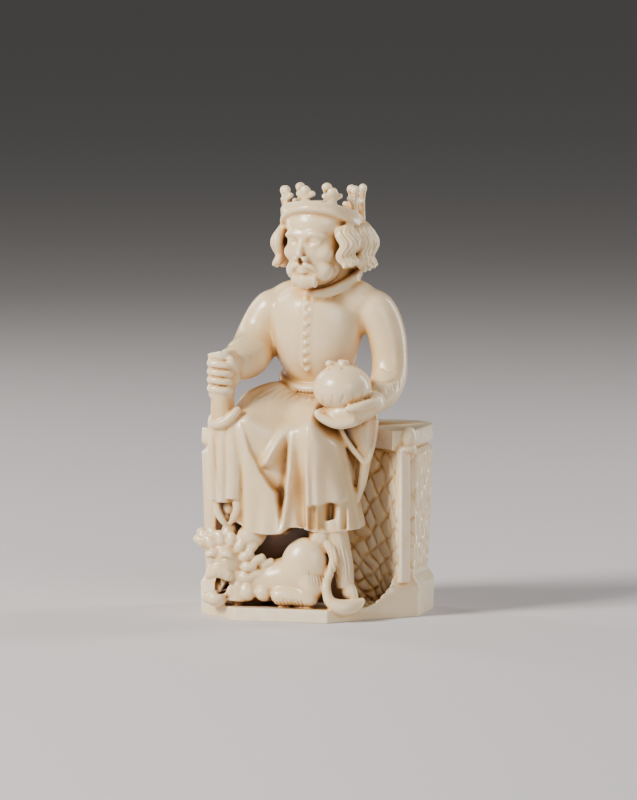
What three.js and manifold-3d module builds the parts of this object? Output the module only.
// A seated chess king carved from one piece of ivory, as one closed solid.
// Units are millimetres, +Z is up and -Y is the front of the throne.
import * as THREE from "three";
import { mergeVertices } from "three/addons/utils/BufferGeometryUtils.js";
import Module from "manifold-3d";

const wasm = await Module();
wasm.setup();

// Driving heights
const RIM_Z = 2.2; // floor that the lion lies on
const PLINTH_Z = 5.2; // upper edge of the foot
const PANEL_Z = 7.3; // the foot slopes in to the side panels here
const RAIL_Z = 27.8; // underside of the rail
const SEAT_Z = 31.6; // top of the rail
const HEM_Z = 15.4; // lower edge of the robe
const BELT_Z = 38.4;
const SHOULDER_Z = 51.4;

// The block's plan
const WIDTH = 36.8;
const DEPTH = 30.5;
const RIGHT_X = 18; // the side of the king's left hand
const LEFT_X = RIGHT_X - WIDTH;
const FRONT_Y = -15;
const BACK_Y = FRONT_Y + DEPTH;
const CHAMFER = { x: 11.2, y: 13.4 }; // the front corner cut off on the king's left
const TAPER_Y = 8; // the other side draws in a little over this length towards the front
const CORNER_X = -17.4; // front corner of the foot on that side
const ARM_X = -16.7; // and of the arm rest above it
const BACK_CORNER = 7;
const PANEL_INSET = 1.4;

const FRONT = [0, -1, 0];
const UP = [0, 0, 1];

// Shaping tools

const vec = (p) => new THREE.Vector3(...p);
const radians = THREE.MathUtils.degToRad;
const lerp = THREE.MathUtils.lerp;

// A closed geometry as a solid that can be joined and cut.
function solid(geometry, frame) {
  const bare = geometry.clone();
  for (const name of Object.keys(bare.attributes)) if (name !== "position") bare.deleteAttribute(name);
  if (frame) bare.applyMatrix4(frame);
  const merged = mergeVertices(bare, 1e-4);
  const mesh = new wasm.Mesh({
    numProp: 3,
    vertProperties: merged.attributes.position.array,
    triVerts: new Uint32Array(merged.index.array),
  });
  return new wasm.Manifold(mesh);
}

const join = (parts) => parts.reduce((whole, part) => whole.add(part));
const cut = (whole, parts) => parts.reduce((left, part) => left.subtract(part), whole);

// A place to shape a piece about its own centre, turned in degrees and then moved.
function placed(centre, turn = [0, 0, 0]) {
  const euler = new THREE.Euler(...turn.map(radians), "ZYX");
  return new THREE.Matrix4().makeRotationFromEuler(euler).setPosition(...centre);
}

// An ellipsoid; radii are its half widths along X, Y and Z before it is turned.
function ball(centre, radii, { turn, sides = 8, rings = 5, frame = new THREE.Matrix4() } = {}) {
  const geometry = new THREE.SphereGeometry(1, sides, rings);
  geometry.rotateX(Math.PI / 2).scale(...(Array.isArray(radii) ? radii : [radii, radii, radii]));
  return solid(geometry, frame.clone().multiply(placed(centre, turn)));
}

// A skin through outlines that all have as many points, closed at both ends.
function loft(outlines) {
  const sides = outlines[0].length;
  const middle = (outline) => outline.reduce((sum, p) => sum.add(vec(p)), new THREE.Vector3()).divideScalar(sides);
  const rows = [null, ...outlines, null];
  const profile = rows.map((row, j) => new THREE.Vector2(row ? 1 : 0, j));
  const geometry = new THREE.LatheGeometry(profile, sides);
  const position = geometry.getAttribute("position");
  const ends = [middle(outlines[0]), middle(outlines.at(-1))];
  for (let i = 0; i <= sides; i++) {
    rows.forEach((row, j) => {
      const p = row ? vec(row[i % sides]) : ends[j ? 1 : 0];
      position.setXYZ(i * rows.length + j, p.x, p.y, p.z);
    });
  }
  return geometry;
}

// A limb, lock or fold through the points. girth gives its half width at each of them, or
// [half width, half thickness] where it is flat. The flat side looks along face.
function limb(points, girth, { sides = 8, steps = 4, face = FRONT, blunt = [0, 0], frame } = {}) {
  const path = new THREE.CatmullRomCurve3(points.map(vec));
  const sizes = girth.map((g) => (Array.isArray(g) ? g : [g, g]));
  const size = new THREE.CatmullRomCurve3(sizes.map(([wide, thick]) => new THREE.Vector3(wide, thick, 0)));
  const length = path.getLength();
  const stations = [];
  const end = (g) => Math.min(0.25, (0.6 * Math.min(...g)) / length);
  if (!blunt[0]) stations.push([0, 0.55]);
  const [first, last] = [blunt[0] ? 0 : end(sizes[0]), blunt[1] ? 1 : 1 - end(sizes.at(-1))];
  for (let i = 0; i <= steps; i++) stations.push([lerp(first, last, i / steps), 1]);
  if (!blunt[1]) stations.push([1, 0.55]);
  const outlines = stations.map(([t, scale]) => {
    const along = path.getTangentAt(t);
    const thick = vec(face).addScaledVector(along, -vec(face).dot(along)).normalize();
    const wide = new THREE.Vector3().crossVectors(thick, along);
    const half = size.getPoint(t).multiplyScalar(scale);
    return Array.from({ length: sides }, (_, i) => {
      const turn = (2 * Math.PI * (i + 0.5)) / sides;
      const at = path.getPointAt(t).addScaledVector(wide, Math.cos(turn) * half.x);
      return at.addScaledVector(thick, Math.sin(turn) * half.y).toArray();
    });
  });
  return solid(loft(outlines), frame);
}

// An outline in plan pulled up from one height to another, with its edges sloped back.
function slab(outline, low, high, slope = 0, inward = slope) {
  const geometry = new THREE.ExtrudeGeometry(outline, {
    depth: high - low - 2 * slope,
    curveSegments: 4,
    bevelEnabled: slope > 0,
    bevelThickness: slope,
    bevelSize: inward,
    bevelOffset: -inward,
    bevelSegments: 1,
  });
  return solid(geometry.translate(0, 0, low + slope));
}

// The throne

// The foot's outline, stood in by a distance.
function plan(inset, cornerX = CORNER_X) {
  const [left, right, front, back] = [LEFT_X + inset, RIGHT_X - inset, FRONT_Y + inset, BACK_Y - inset];
  const corner = BACK_CORNER - inset;
  const shape = new THREE.Shape();
  shape.moveTo(cornerX + 1.2, front);
  shape.lineTo(right - CHAMFER.x - 1.6, front);
  shape.lineTo(right - CHAMFER.x + 0.3, front + 1.5);
  shape.lineTo(right - 1, front + CHAMFER.y - 1.4);
  shape.lineTo(right, front + CHAMFER.y + 1);
  shape.lineTo(right, back - corner);
  shape.absarc(right - corner, back - corner, corner, 0, Math.PI / 2, false);
  shape.lineTo(left + corner, back);
  shape.absarc(left + corner, back - corner, corner, Math.PI / 2, Math.PI, false);
  shape.lineTo(left, front + TAPER_Y);
  shape.lineTo(cornerX, front + 1.2);
  return shape;
}

// An upright opening with an elliptical lower corner, pushed back into the block.
function opening(from, to, corner) {
  const shape = new THREE.Shape();
  shape.moveTo(from, SEAT_Z + 3);
  shape.lineTo(from, RIM_Z);
  shape.lineTo(to - corner.x, RIM_Z);
  shape.absellipse(to - corner.x, RIM_Z + corner.z, corner.x, corner.z, -Math.PI / 2, 0, false);
  shape.lineTo(to, SEAT_Z + 3);
  const geometry = new THREE.ExtrudeGeometry(shape, { depth: 40, bevelEnabled: false, curveSegments: 5 });
  geometry.rotateX(Math.PI / 2).translate(0, 20, 0);
  return solid(geometry);
}

// The hollow in front of the seat, with a curved back and a band along its upper edge.
function niche() {
  const curve = (rx, ry, low, high) => {
    const cylinder = new THREE.CylinderGeometry(1, 1, high - low, 22).rotateX(Math.PI / 2).scale(rx, ry, 1);
    return solid(cylinder.translate(-0.6, -8, (low + high) / 2));
  };
  const back = curve(16, 10.5, 0, RAIL_Z).add(curve(15.2, 9.6, RAIL_Z - 0.1, SEAT_Z + 5));
  const front = solid(new THREE.BoxGeometry(40, 20, 80).translate(0, -18, 0));
  return opening(-15.4, 14.9, { x: 5.1, z: 9 }).intersect(back.add(front));
}

function throne() {
  const foot = slab(plan(0), 0, PLINTH_Z);
  const slope = slab(plan(0), PLINTH_Z - 2.1, PANEL_Z, PANEL_Z - PLINTH_Z, PANEL_INSET);
  const body = slab(plan(PANEL_INSET, ARM_X), 1, SEAT_Z - 0.5);
  const rail = slab(plan(0.2, ARM_X), RAIL_Z, SEAT_Z, 1.3);
  const jamb = [15.4, -3.3];
  const post = limb([[...jamb, 4], [...jamb, RAIL_Z + 0.4]], [1.1, 1.1], { sides: 6, steps: 1, blunt: [1, 1] });
  const knob = ball([15.9, -3.2, 29.9], [1.9, 2.2, 2.3]);
  const ground = solid(new THREE.BoxGeometry(19.4, 11, 15).translate(-6, -3, RIM_Z + 6.5)); // behind the lion
  return join([cut(join([foot, slope, body, rail]), [niche()]), post, knob, ground]);
}

// The lion under the king's feet

function lion() {
  const back = limb([[-11, -9.5, 6.2], [-5, -10, 6.6], [1, -10.5, 8]], [[3.6, 4], [3.2, 3.6], [3.8, 4.2]], {
    steps: 2,
    blunt: [1, 1],
  });
  const haunch = ball([0.4, -11.6, 8.7], [4.1, 2.9, 5.2], { turn: [0, 8, 0], sides: 10, rings: 6 });
  const hock = limb([[2.4, -12.4, 6.6], [3.4, -12.8, 3.4]], [2.0, 1.4], { sides: 6, steps: 1, blunt: [1, 1] });
  const hindPaw = limb([[3.4, -12.8, 3.5], [-0.8, -13.0, 4.2], [-4.6, -12.8, 4.0]], [1.5, 1.6, 1.3], { sides: 6, steps: 2 });
  const skull = ball([-13, -11.6, 10], [3.6, 2.9, 4.0], { sides: 8, rings: 6 });
  const muzzle = ball([-13.4, -13.1, 8.3], [2.5, 1.8, 1.6], { sides: 8, rings: 4 });
  const jaw = ball([-13.4, -12.8, 3.6], [2.4, 1.9, 1.6], { sides: 6, rings: 4 });
  const throat = limb([[-10.6, -11.8, 3], [-10.6, -11.6, 8]], [2.0, 2.0], { sides: 6, steps: 1, blunt: [1, 1] });
  const brows = [-14.6, -11.8].map((x) => ball([x, -14, 10.8], [1.2, 0.9, 0.8], { sides: 5, rings: 3 }));
  const ears = [-15.8, -10.2].map((x) => ball([x, -12, 13], [1.0, 0.9, 1.2], { sides: 5, rings: 3 }));
  const paws = [-8.8, -6.6].map((x) => ball([x, -12.8, 3.4], [1.5, 1.7, 1.3], { sides: 6, rings: 3 }));
  const mane = [];
  for (let i = 0; i < 5; i++) {
    const turn = radians(-52 + i * 32);
    const [x, z] = [-12.6 + Math.cos(turn) * 4.2, 9 + Math.sin(turn) * 4.6];
    mane.push(ball([x, -12.2, z], [1.7, 1.5, 1.8], { sides: 5, rings: 3 }));
    if (i < 3) mane.push(ball([x + 2.8, -11.6, z - 0.8], [1.7, 1.5, 1.8], { sides: 5, rings: 3 }));
  }
  const tail = limb(
    [[2.4, -11.2, 13.2], [5.0, -11.8, 12], [5.3, -12.6, 9], [4.9, -13, 6], [5.2, -13.4, 3.8], [7.4, -12.6, 2.7], [9.6, -11, 3.5]],
    [0.7, 0.8, 0.75, 0.75, 0.9, 1.3, 0.5],
    { sides: 5, steps: 9, blunt: [1, 0] },
  );
  return join([back, haunch, hock, hindPaw, skull, muzzle, jaw, throat, ...brows, ...ears, ...paws, ...mane, tail]);
}

// The robe: one cloth from the belt over the knees to the hem

// Across the lap: x, lap height, front of the knees and their height, front of the hem
const LAP = [
  [-13.8, 33.2, -9.0, 32.0, -9.0],
  [-12.4, 36.0, -12.0, 34.0, -11.6],
  [-9.6, 37.6, -13.6, 34.8, -13.2],
  [-6.2, 38.0, -12.8, 33.6, -13.8],
  [-2.8, 37.8, -11.6, 33.0, -13.2],
  [1.6, 37.6, -13.2, 34.0, -13.0],
  [4.8, 36.6, -12.2, 33.0, -12.4],
  [7.4, 35.6, -9.4, 31.6, -10.6],
  [9.4, 34.0, -6.4, 30.6, -8.2],
];

// Folds run between two places on the front; those with a negative depth are hollows
const FOLDS = [
  { from: [-9.6, 33], to: [-6.5, 25], depth: -1.2, spread: 1.2 },
  { from: [-6.5, 25], to: [-3.4, 15], depth: -2.2, spread: 1.5 },
  { from: [-1.5, 35], to: [-5.8, 26], depth: 1.6, spread: 1.1 },
  { from: [-1.9, 31], to: [-2.4, 15], depth: 1.2, spread: 0.9 },
  { from: [-0.2, 28], to: [-0.4, 15], depth: -0.6, spread: 0.8 },
  { from: [1.3, 28], to: [1.7, 15], depth: 0.6, spread: 0.8 },
  { from: [4.8, 32], to: [6.6, 15], depth: -0.8, spread: 0.8 },
  { from: [6.2, 30], to: [8.2, 15], depth: 0.7, spread: 0.8 },
];

// How far the folds stand out of the cloth at a place on its front.
function folds(x, z) {
  let out = 0;
  for (const { from, to, depth, spread } of FOLDS) {
    const t = (from[1] - z) / (from[1] - to[1]);
    const near = Math.min(1, Math.max(0, 4 * Math.min(t + 0.12, 1.12 - t)));
    const off = (x - lerp(from[0], to[0], t)) / spread;
    out += depth * near * Math.exp(-off * off);
  }
  return out;
}

function robe() {
  const curves = [1, 2, 3, 4].map((k) => new THREE.CatmullRomCurve3(LAP.map((s) => new THREE.Vector3(s[0], s[k], 0))));
  const steps = 28;
  const outlines = [];
  for (let i = 0; i <= steps; i++) {
    const [lap, knee, top, hem] = curves.map((curve) => curve.getPoint(i / steps));
    const x = lap.x;
    const front = (z) => {
      const t = (top.y - 3 - z) / (top.y - 3 - HEM_Z);
      return [x, lerp(knee.y, hem.y, t) - folds(x, z), z];
    };
    const outline = [[x, 7, lap.y - 1.5], [x, -1, lap.y], [x, knee.y * 0.5, lerp(lap.y, top.y, 0.35)]];
    outline.push([x, knee.y + 2.4, top.y], [x, knee.y + 0.6, top.y - 1.2]);
    const rows = 5;
    for (let j = 0; j <= rows; j++) outline.push(front(lerp(top.y - 3, HEM_Z, j / rows)));
    const behind = x < 4 ? 3 : front(HEM_Z)[1] + 3; // solid back to the seat, but for the edge
    outline.push([x, behind, HEM_Z], [x, Math.max(behind, -4), 24], [x, 7, 30]);
    outlines.push(outline);
  }
  const cloth = solid(loft(outlines));
  // The hem lifts in front of the left shin and shows the pleats behind
  const lift = solid(new THREE.BoxGeometry(5.6, 3.2, 6), placed([4.5, -13.6, HEM_Z + 1.2], [0, 0, 6]));
  const pleats = [2.6, 4.6, 6.4].map((x) =>
    limb([[x, -10.6, HEM_Z + 5], [x + 0.2, -10.8, HEM_Z + 0.3]], [1.1, 1.2], { sides: 6, steps: 1, blunt: [0, 1] }),
  );
  const hips = ball([-0.8, 3.6, 34.6], [10, 6.4, 4.6]);
  return join([cut(cloth, [lift]), ...pleats, hips]);
}

// The cloth that hangs from the fist, and the sleeve's point on the other side
function drapes() {
  const fall = limb(
    [[-13.8, -11.4, 35], [-13.0, -11.6, 31.5], [-13.2, -12.0, 26], [-13.9, -12.2, 19.6]],
    [[1.9, 1.8], [3.0, 2.0], [3.1, 2.1], [2.6, 1.9]],
    { sides: 8, steps: 4, blunt: [1, 1] },
  );
  const drops = [-1, 1].map((s) =>
    limb([[-13.6 + s * 1.2, -12.2, 20.4], [-13.3 + s * 0.9, -12.6, 17.6], [-13.2, -12.4, 14.8]], [1.0, 1.0, 0.4], {
      sides: 5,
      steps: 2,
      blunt: [1, 0],
    }),
  );
  const sleeve = limb([[8.2, -3.6, 32.6], [9.2, -4.6, 28.6], [9.4, -5.2, 25.0]], [[3.0, 1.4], [2.2, 1.2], [0.6, 0.6]], {
    sides: 6,
    steps: 2,
    blunt: [1, 0],
  });
  const tail = limb([[9.2, -5.2, 26], [8.6, -7, 19]], [1.0, 0.7], { sides: 5, steps: 1, blunt: [1, 0] });
  return join([fall, ...drops, sleeve, tail]);
}

function feet() {
  const right = limb([[-7.4, -9, 16], [-9.2, -11.8, 13.4], [-9.8, -12.8, 12.2]], [2.2, 2.3, 1.7], { steps: 2, blunt: [1, 0] });
  const left = limb([[2.0, -8.6, 15.4], [3.6, -11.0, 13.6], [4.0, -11.8, 13.0]], [1.9, 1.9, 1.3], { steps: 2, blunt: [1, 0] });
  const skirt = limb([[5.2, -8.4, 16], [6.6, -9.0, 10], [7.8, -9.2, 5.6]], [2.3, 2.0, 1.6], { steps: 2, blunt: [1, 1] });
  const toe = limb([[7.4, -9.0, 6.6], [8.8, -9.8, 3.4]], [[1.6, 1.4], [1.6, 1.2]], { sides: 6, steps: 1, blunt: [1, 0] });
  return join([right, left, skirt, toe]);
}

// The upper body, turned a little towards the king's right

const bodyFrame = placed([-0.6, 2.6, 0], [0, 0, -10]);

function torso() {
  const f = { frame: bodyFrame };
  const trunk = limb(
    [[0, 0.6, BELT_Z - 3.4], [0, 0, BELT_Z + 1.6], [0, -0.8, 46], [0.2, -0.2, 50.6], [0.8, 0, 54.6]],
    [[6.6, 5.2], [6.2, 4.8], [8.2, 5.9], [8.6, 5.0], [4.4, 3.8]],
    { ...f, sides: 14, steps: 6, blunt: [1, 1] },
  );
  const shoulders = limb(
    [[-9.6, 0.8, 50.6], [-4, 0, 53.2], [1.4, 0, 54], [6.6, 0, 53.4], [11.6, 0.8, 50.8]],
    [3.4, 3.0, 3.4, 3.0, 3.4],
    { ...f, sides: 8, steps: 4, face: UP },
  );
  const neck = limb([[1.6, 0.2, 53], [1.8, -0.6, 60]], [4.6, 4.4], { ...f, sides: 8, steps: 1, blunt: [1, 1] });
  const collar = new THREE.CylinderGeometry(5.3, 5.6, 1.5, 12).rotateX(Math.PI / 2);
  const roll = [[0, -1.3], [0.92, -1.3], [1.06, 0], [0.92, 1.3], [0, 1.3]].map(([r, z]) => new THREE.Vector2(r, z));
  const belt = new THREE.LatheGeometry(roll, 14).rotateX(Math.PI / 2).scale(6.9, 5.7, 1).translate(0, 0.2, BELT_Z);
  const buttons = [];
  const count = 9;
  for (let i = 0; i < count; i++) {
    const z = BELT_Z + 2.2 + i * 1.45;
    const bulge = Math.sin((Math.PI * (z - BELT_Z)) / 15.5);
    const button = new THREE.OctahedronGeometry(0.7).translate(0.1, -4.3 - 2.1 * bulge, z);
    buttons.push(solid(button, bodyFrame));
  }
  const ring = bodyFrame.clone().multiply(placed([1.6, 0, 55.2], [-14, -10, 0]));
  return join([trunk, shoulders, neck, solid(collar, ring), solid(belt, bodyFrame), ...buttons]);
}

const FIST = [-13.9, -11.2, 40.6];

function rightArm() {
  const upper = limb([[-8.6, 3.8, SHOULDER_Z + 0.6], [-10.8, 3.2, 47.6], [-11.9, 1.4, 43.6]], [3.4, 3.2, 3.4], { sides: 8, steps: 3 });
  const fore = limb([[-11.8, 1.8, 43.2], [-12.6, -3.6, 43.0], [-13.2, -9, 42.2]], [3.4, 3.0, 2.3], { sides: 8, steps: 2, blunt: [0, 1] });
  const [x, y, z] = FIST;
  const palm = limb([[x + 0.1, y, z - 3.6], [x, y, z + 3.8]], [[2.1, 2.0], [2.4, 2.1]], { steps: 1, blunt: [1, 1] });
  const fingers = [];
  for (let i = 0; i < 4; i++) {
    const height = z + 2.0 - i * 1.6;
    const bend = [-2.2, -0.8, 0.8, 2.2].map((dx) => [x + dx, y - Math.sqrt(5.4 - dx * dx) * 0.85, height]);
    fingers.push(limb(bend, [0.7, 0.85, 0.85, 0.7], { sides: 6, steps: 3, face: UP, blunt: [1, 1] }));
  }
  const shaft = limb([[x, y, z - 3], [x - 0.1, y - 0.1, z - 7.4]], [1.8, 1.7], { sides: 6, steps: 1, blunt: [1, 1] });
  return join([upper, fore, palm, ...fingers, shaft]);
}

const ORB = [6.2, -8.2, 38.7];
const ORB_RADIUS = 4.8;

function leftArm() {
  const upper = limb([[10.4, 1.8, SHOULDER_Z + 0.6], [11.9, 2.0, 46], [12.2, 1.6, 40.2]], [3.4, 3.1, 3.0], { sides: 8, steps: 3 });
  const fore = limb([[12.2, 1.8, 39.8], [12.0, -2.0, 37.6], [10.8, -5.6, 35.8]], [3.0, 2.8, 2.4], { sides: 8, steps: 2, blunt: [0, 1] });
  const palm = ball([8.2, -7.2, 34.9], [3.9, 3.5, 1.9], { turn: [0, -16, 20], sides: 8, rings: 5 });
  const fingers = [];
  for (let i = 0; i < 3; i++) {
    const y = ORB[1] - 3.4 + i * 2.1;
    fingers.push(limb([[9, y + 0.6, 34.6], [6, y, 33.4], [3, y - 0.2, 34.4]], [1.1, 1.1, 0.7], { sides: 5, steps: 2, blunt: [1, 1] }));
  }
  const thumb = limb([[11.4, -7.4, 36.2], [9.4, -11.0, 36.0], [6.2, -12.4, 35.8]], [1.3, 1.0, 0.7], { sides: 5, steps: 3, blunt: [1, 0] });
  const orb = ball(ORB, [ORB_RADIUS, ORB_RADIUS, ORB_RADIUS * 0.92], { sides: 14, rings: 9 });
  const top = ORB[2] + ORB_RADIUS * 0.92;
  const stump = [[-1.5, 0.4, 0.4], [-0.2, 0, 0.5], [0.7, 0.3, 0.6]].map(([dx, dy, dz]) =>
    ball([ORB[0] + dx, ORB[1] + dy, top + dz - 0.3], 0.65, { sides: 5, rings: 3 }),
  );
  return join([upper, fore, palm, ...fingers, thumb, orb, ...stump]);
}

// The head, with +X to the king's left, -Y forwards and zero at its middle

const headFrame = placed([0.9, 0.4, 63.2], [0, 0, -18]);

function face() {
  const f = { frame: headFrame };
  const both = (make) => [-1, 1].map(make);
  const skull = ball([0, 0.8, 1.2], [6.0, 6.2, 6.2], { ...f, sides: 10, rings: 5 });
  const mask = ball([0, -1.9, -1.4], [5.1, 5.0, 6.5], { ...f, sides: 12, rings: 8 });
  const jaw = ball([0, -2.0, -4.6], [4.3, 4.2, 3.2], { ...f, sides: 10, rings: 5 });
  const sockets = both((s) => ball([s * 2.2, -7.5, 0.2], [1.5, 1.6, 0.95], { ...f, sides: 6, rings: 4 }));
  const brow = limb([[-3.9, -5.3, 1.3], [-1.9, -6.4, 1.8], [0, -6.5, 1.4], [1.9, -6.4, 1.8], [3.9, -5.3, 1.3]],
    [0.5, 0.75, 0.6, 0.75, 0.5], { ...f, sides: 5, steps: 4, blunt: [1, 1] });
  const nose = limb([[0, -6.2, 1.4], [0, -7.3, -0.8], [0, -7.7, -2.3]], [0.6, 0.8, 1.1], { ...f, sides: 5, steps: 2, blunt: [1, 0] });
  const lips = limb([[-1.6, -5.8, -4.3], [0, -6.6, -4.3], [1.6, -5.8, -4.3]], [0.5, 0.8, 0.5], { ...f, sides: 5, steps: 2, blunt: [1, 1] });
  const beard = limb([[0, -5.2, -5.4], [0, -5.8, -7.0], [0, -5.6, -8.2]], [[2.4, 1.2], [2.3, 1.3], [1.5, 0.8]], {
    ...f, sides: 8, steps: 1, blunt: [1, 0],
  });
  const moustache = both((s) =>
    limb([[s * 0.2, -6.8, -3.2], [s * 1.4, -6.4, -3.5], [s * 2.4, -5.3, -4.6]], [0.5, 0.6, 0.4], { ...f, sides: 5, steps: 2, blunt: [1, 1] }),
  );
  const head = cut(join([skull, mask, jaw]), sockets);
  return join([head, brow, nose, lips, beard, ...moustache]);
}

function hair() {
  const locks = [];
  const count = 9;
  for (let i = 0; i < count; i++) {
    const turn = radians(62 + (236 * i) / (count - 1)); // from one temple round the back to the other
    const out = (radius, z) => [Math.sin(turn) * radius, 0.9 - Math.cos(turn) * radius, z];
    const drop = i % 2 ? 0.6 : 0; // neighbours end at different heights
    const path = [out(5.8, 2.8), out(7.2, 0.4), out(7.4, -2.2), out(6.8, -4.2 - drop), out(8.6, -5.0 - drop)];
    const face = [Math.sin(turn), -Math.cos(turn), 0];
    locks.push(limb(path, [1.2, 1.8, 1.9, 1.6, 0.6], { sides: 5, steps: 4, face, frame: headFrame, blunt: [1, 0] }));
  }
  const nape = ball([0, 2.2, -1.8], [6.6, 5.6, 4.8], { sides: 8, rings: 5, frame: headFrame });
  return join([...locks, nape]);
}

// The crown: a band tipped back on the head, with nine leaves
function crown() {
  const frame = headFrame.clone().multiply(placed([0, 0.6, 3.0], [27, 0, 0]));
  const [inner, outer, high] = [5.9, 7.0, 1.8];
  const section = [[0, -1.2], [outer, -1.2], [outer + 0.25, -0.5], [outer, high], [inner, high], [inner, 1], [0, 2.4]];
  const band = new THREE.LatheGeometry(section.map(([r, z]) => new THREE.Vector2(r, z)), 16).rotateX(Math.PI / 2);
  const leaf = new THREE.Shape();
  leaf.moveTo(-1.3, 0);
  leaf.lineTo(1.3, 0);
  leaf.lineTo(1.0, 1.0);
  leaf.lineTo(1.8, 1.8);
  leaf.lineTo(0.8, 3.2);
  leaf.lineTo(-0.8, 3.2);
  leaf.lineTo(-1.8, 1.8);
  leaf.lineTo(-1.0, 1.0);
  const upright = new THREE.ExtrudeGeometry(leaf, { depth: 1.0, bevelEnabled: false }).rotateX(Math.PI / 2);
  const leaves = [];
  const count = 9;
  for (let i = 0; i < count; i++) {
    const spot = frame.clone().multiply(placed([0, 0, 0], [0, 0, 8 + (360 * i) / count]));
    leaves.push(solid(upright, spot.multiply(placed([0, -outer + 1.05, 0.9], [0, 0, 0]))));
  }
  return join([solid(band, frame), ...leaves]);
}

// The whole carving, moved so that the middle of its foot is at the origin

const carving = join([throne(), lion(), robe(), drapes(), feet(), torso(), rightArm(), leftArm(), face(), hair(), crown()]);
const { vertProperties, triVerts } = carving.getMesh();
const geometry = new THREE.BufferGeometry();
geometry.setAttribute("position", new THREE.BufferAttribute(vertProperties, 3));
geometry.setIndex(new THREE.BufferAttribute(triVerts, 1));
geometry.translate(-(LEFT_X + RIGHT_X) / 2, -(FRONT_Y + BACK_Y) / 2, 0);
geometry.computeVertexNormals();

const ivory = new THREE.MeshStandardMaterial({ color: 0xe0c48c, roughness: 0.35, metalness: 0 });
const king = new THREE.Mesh(geometry, ivory);
king.name = "chess_king";

const part = new THREE.Group();
part.add(king);

export default part;
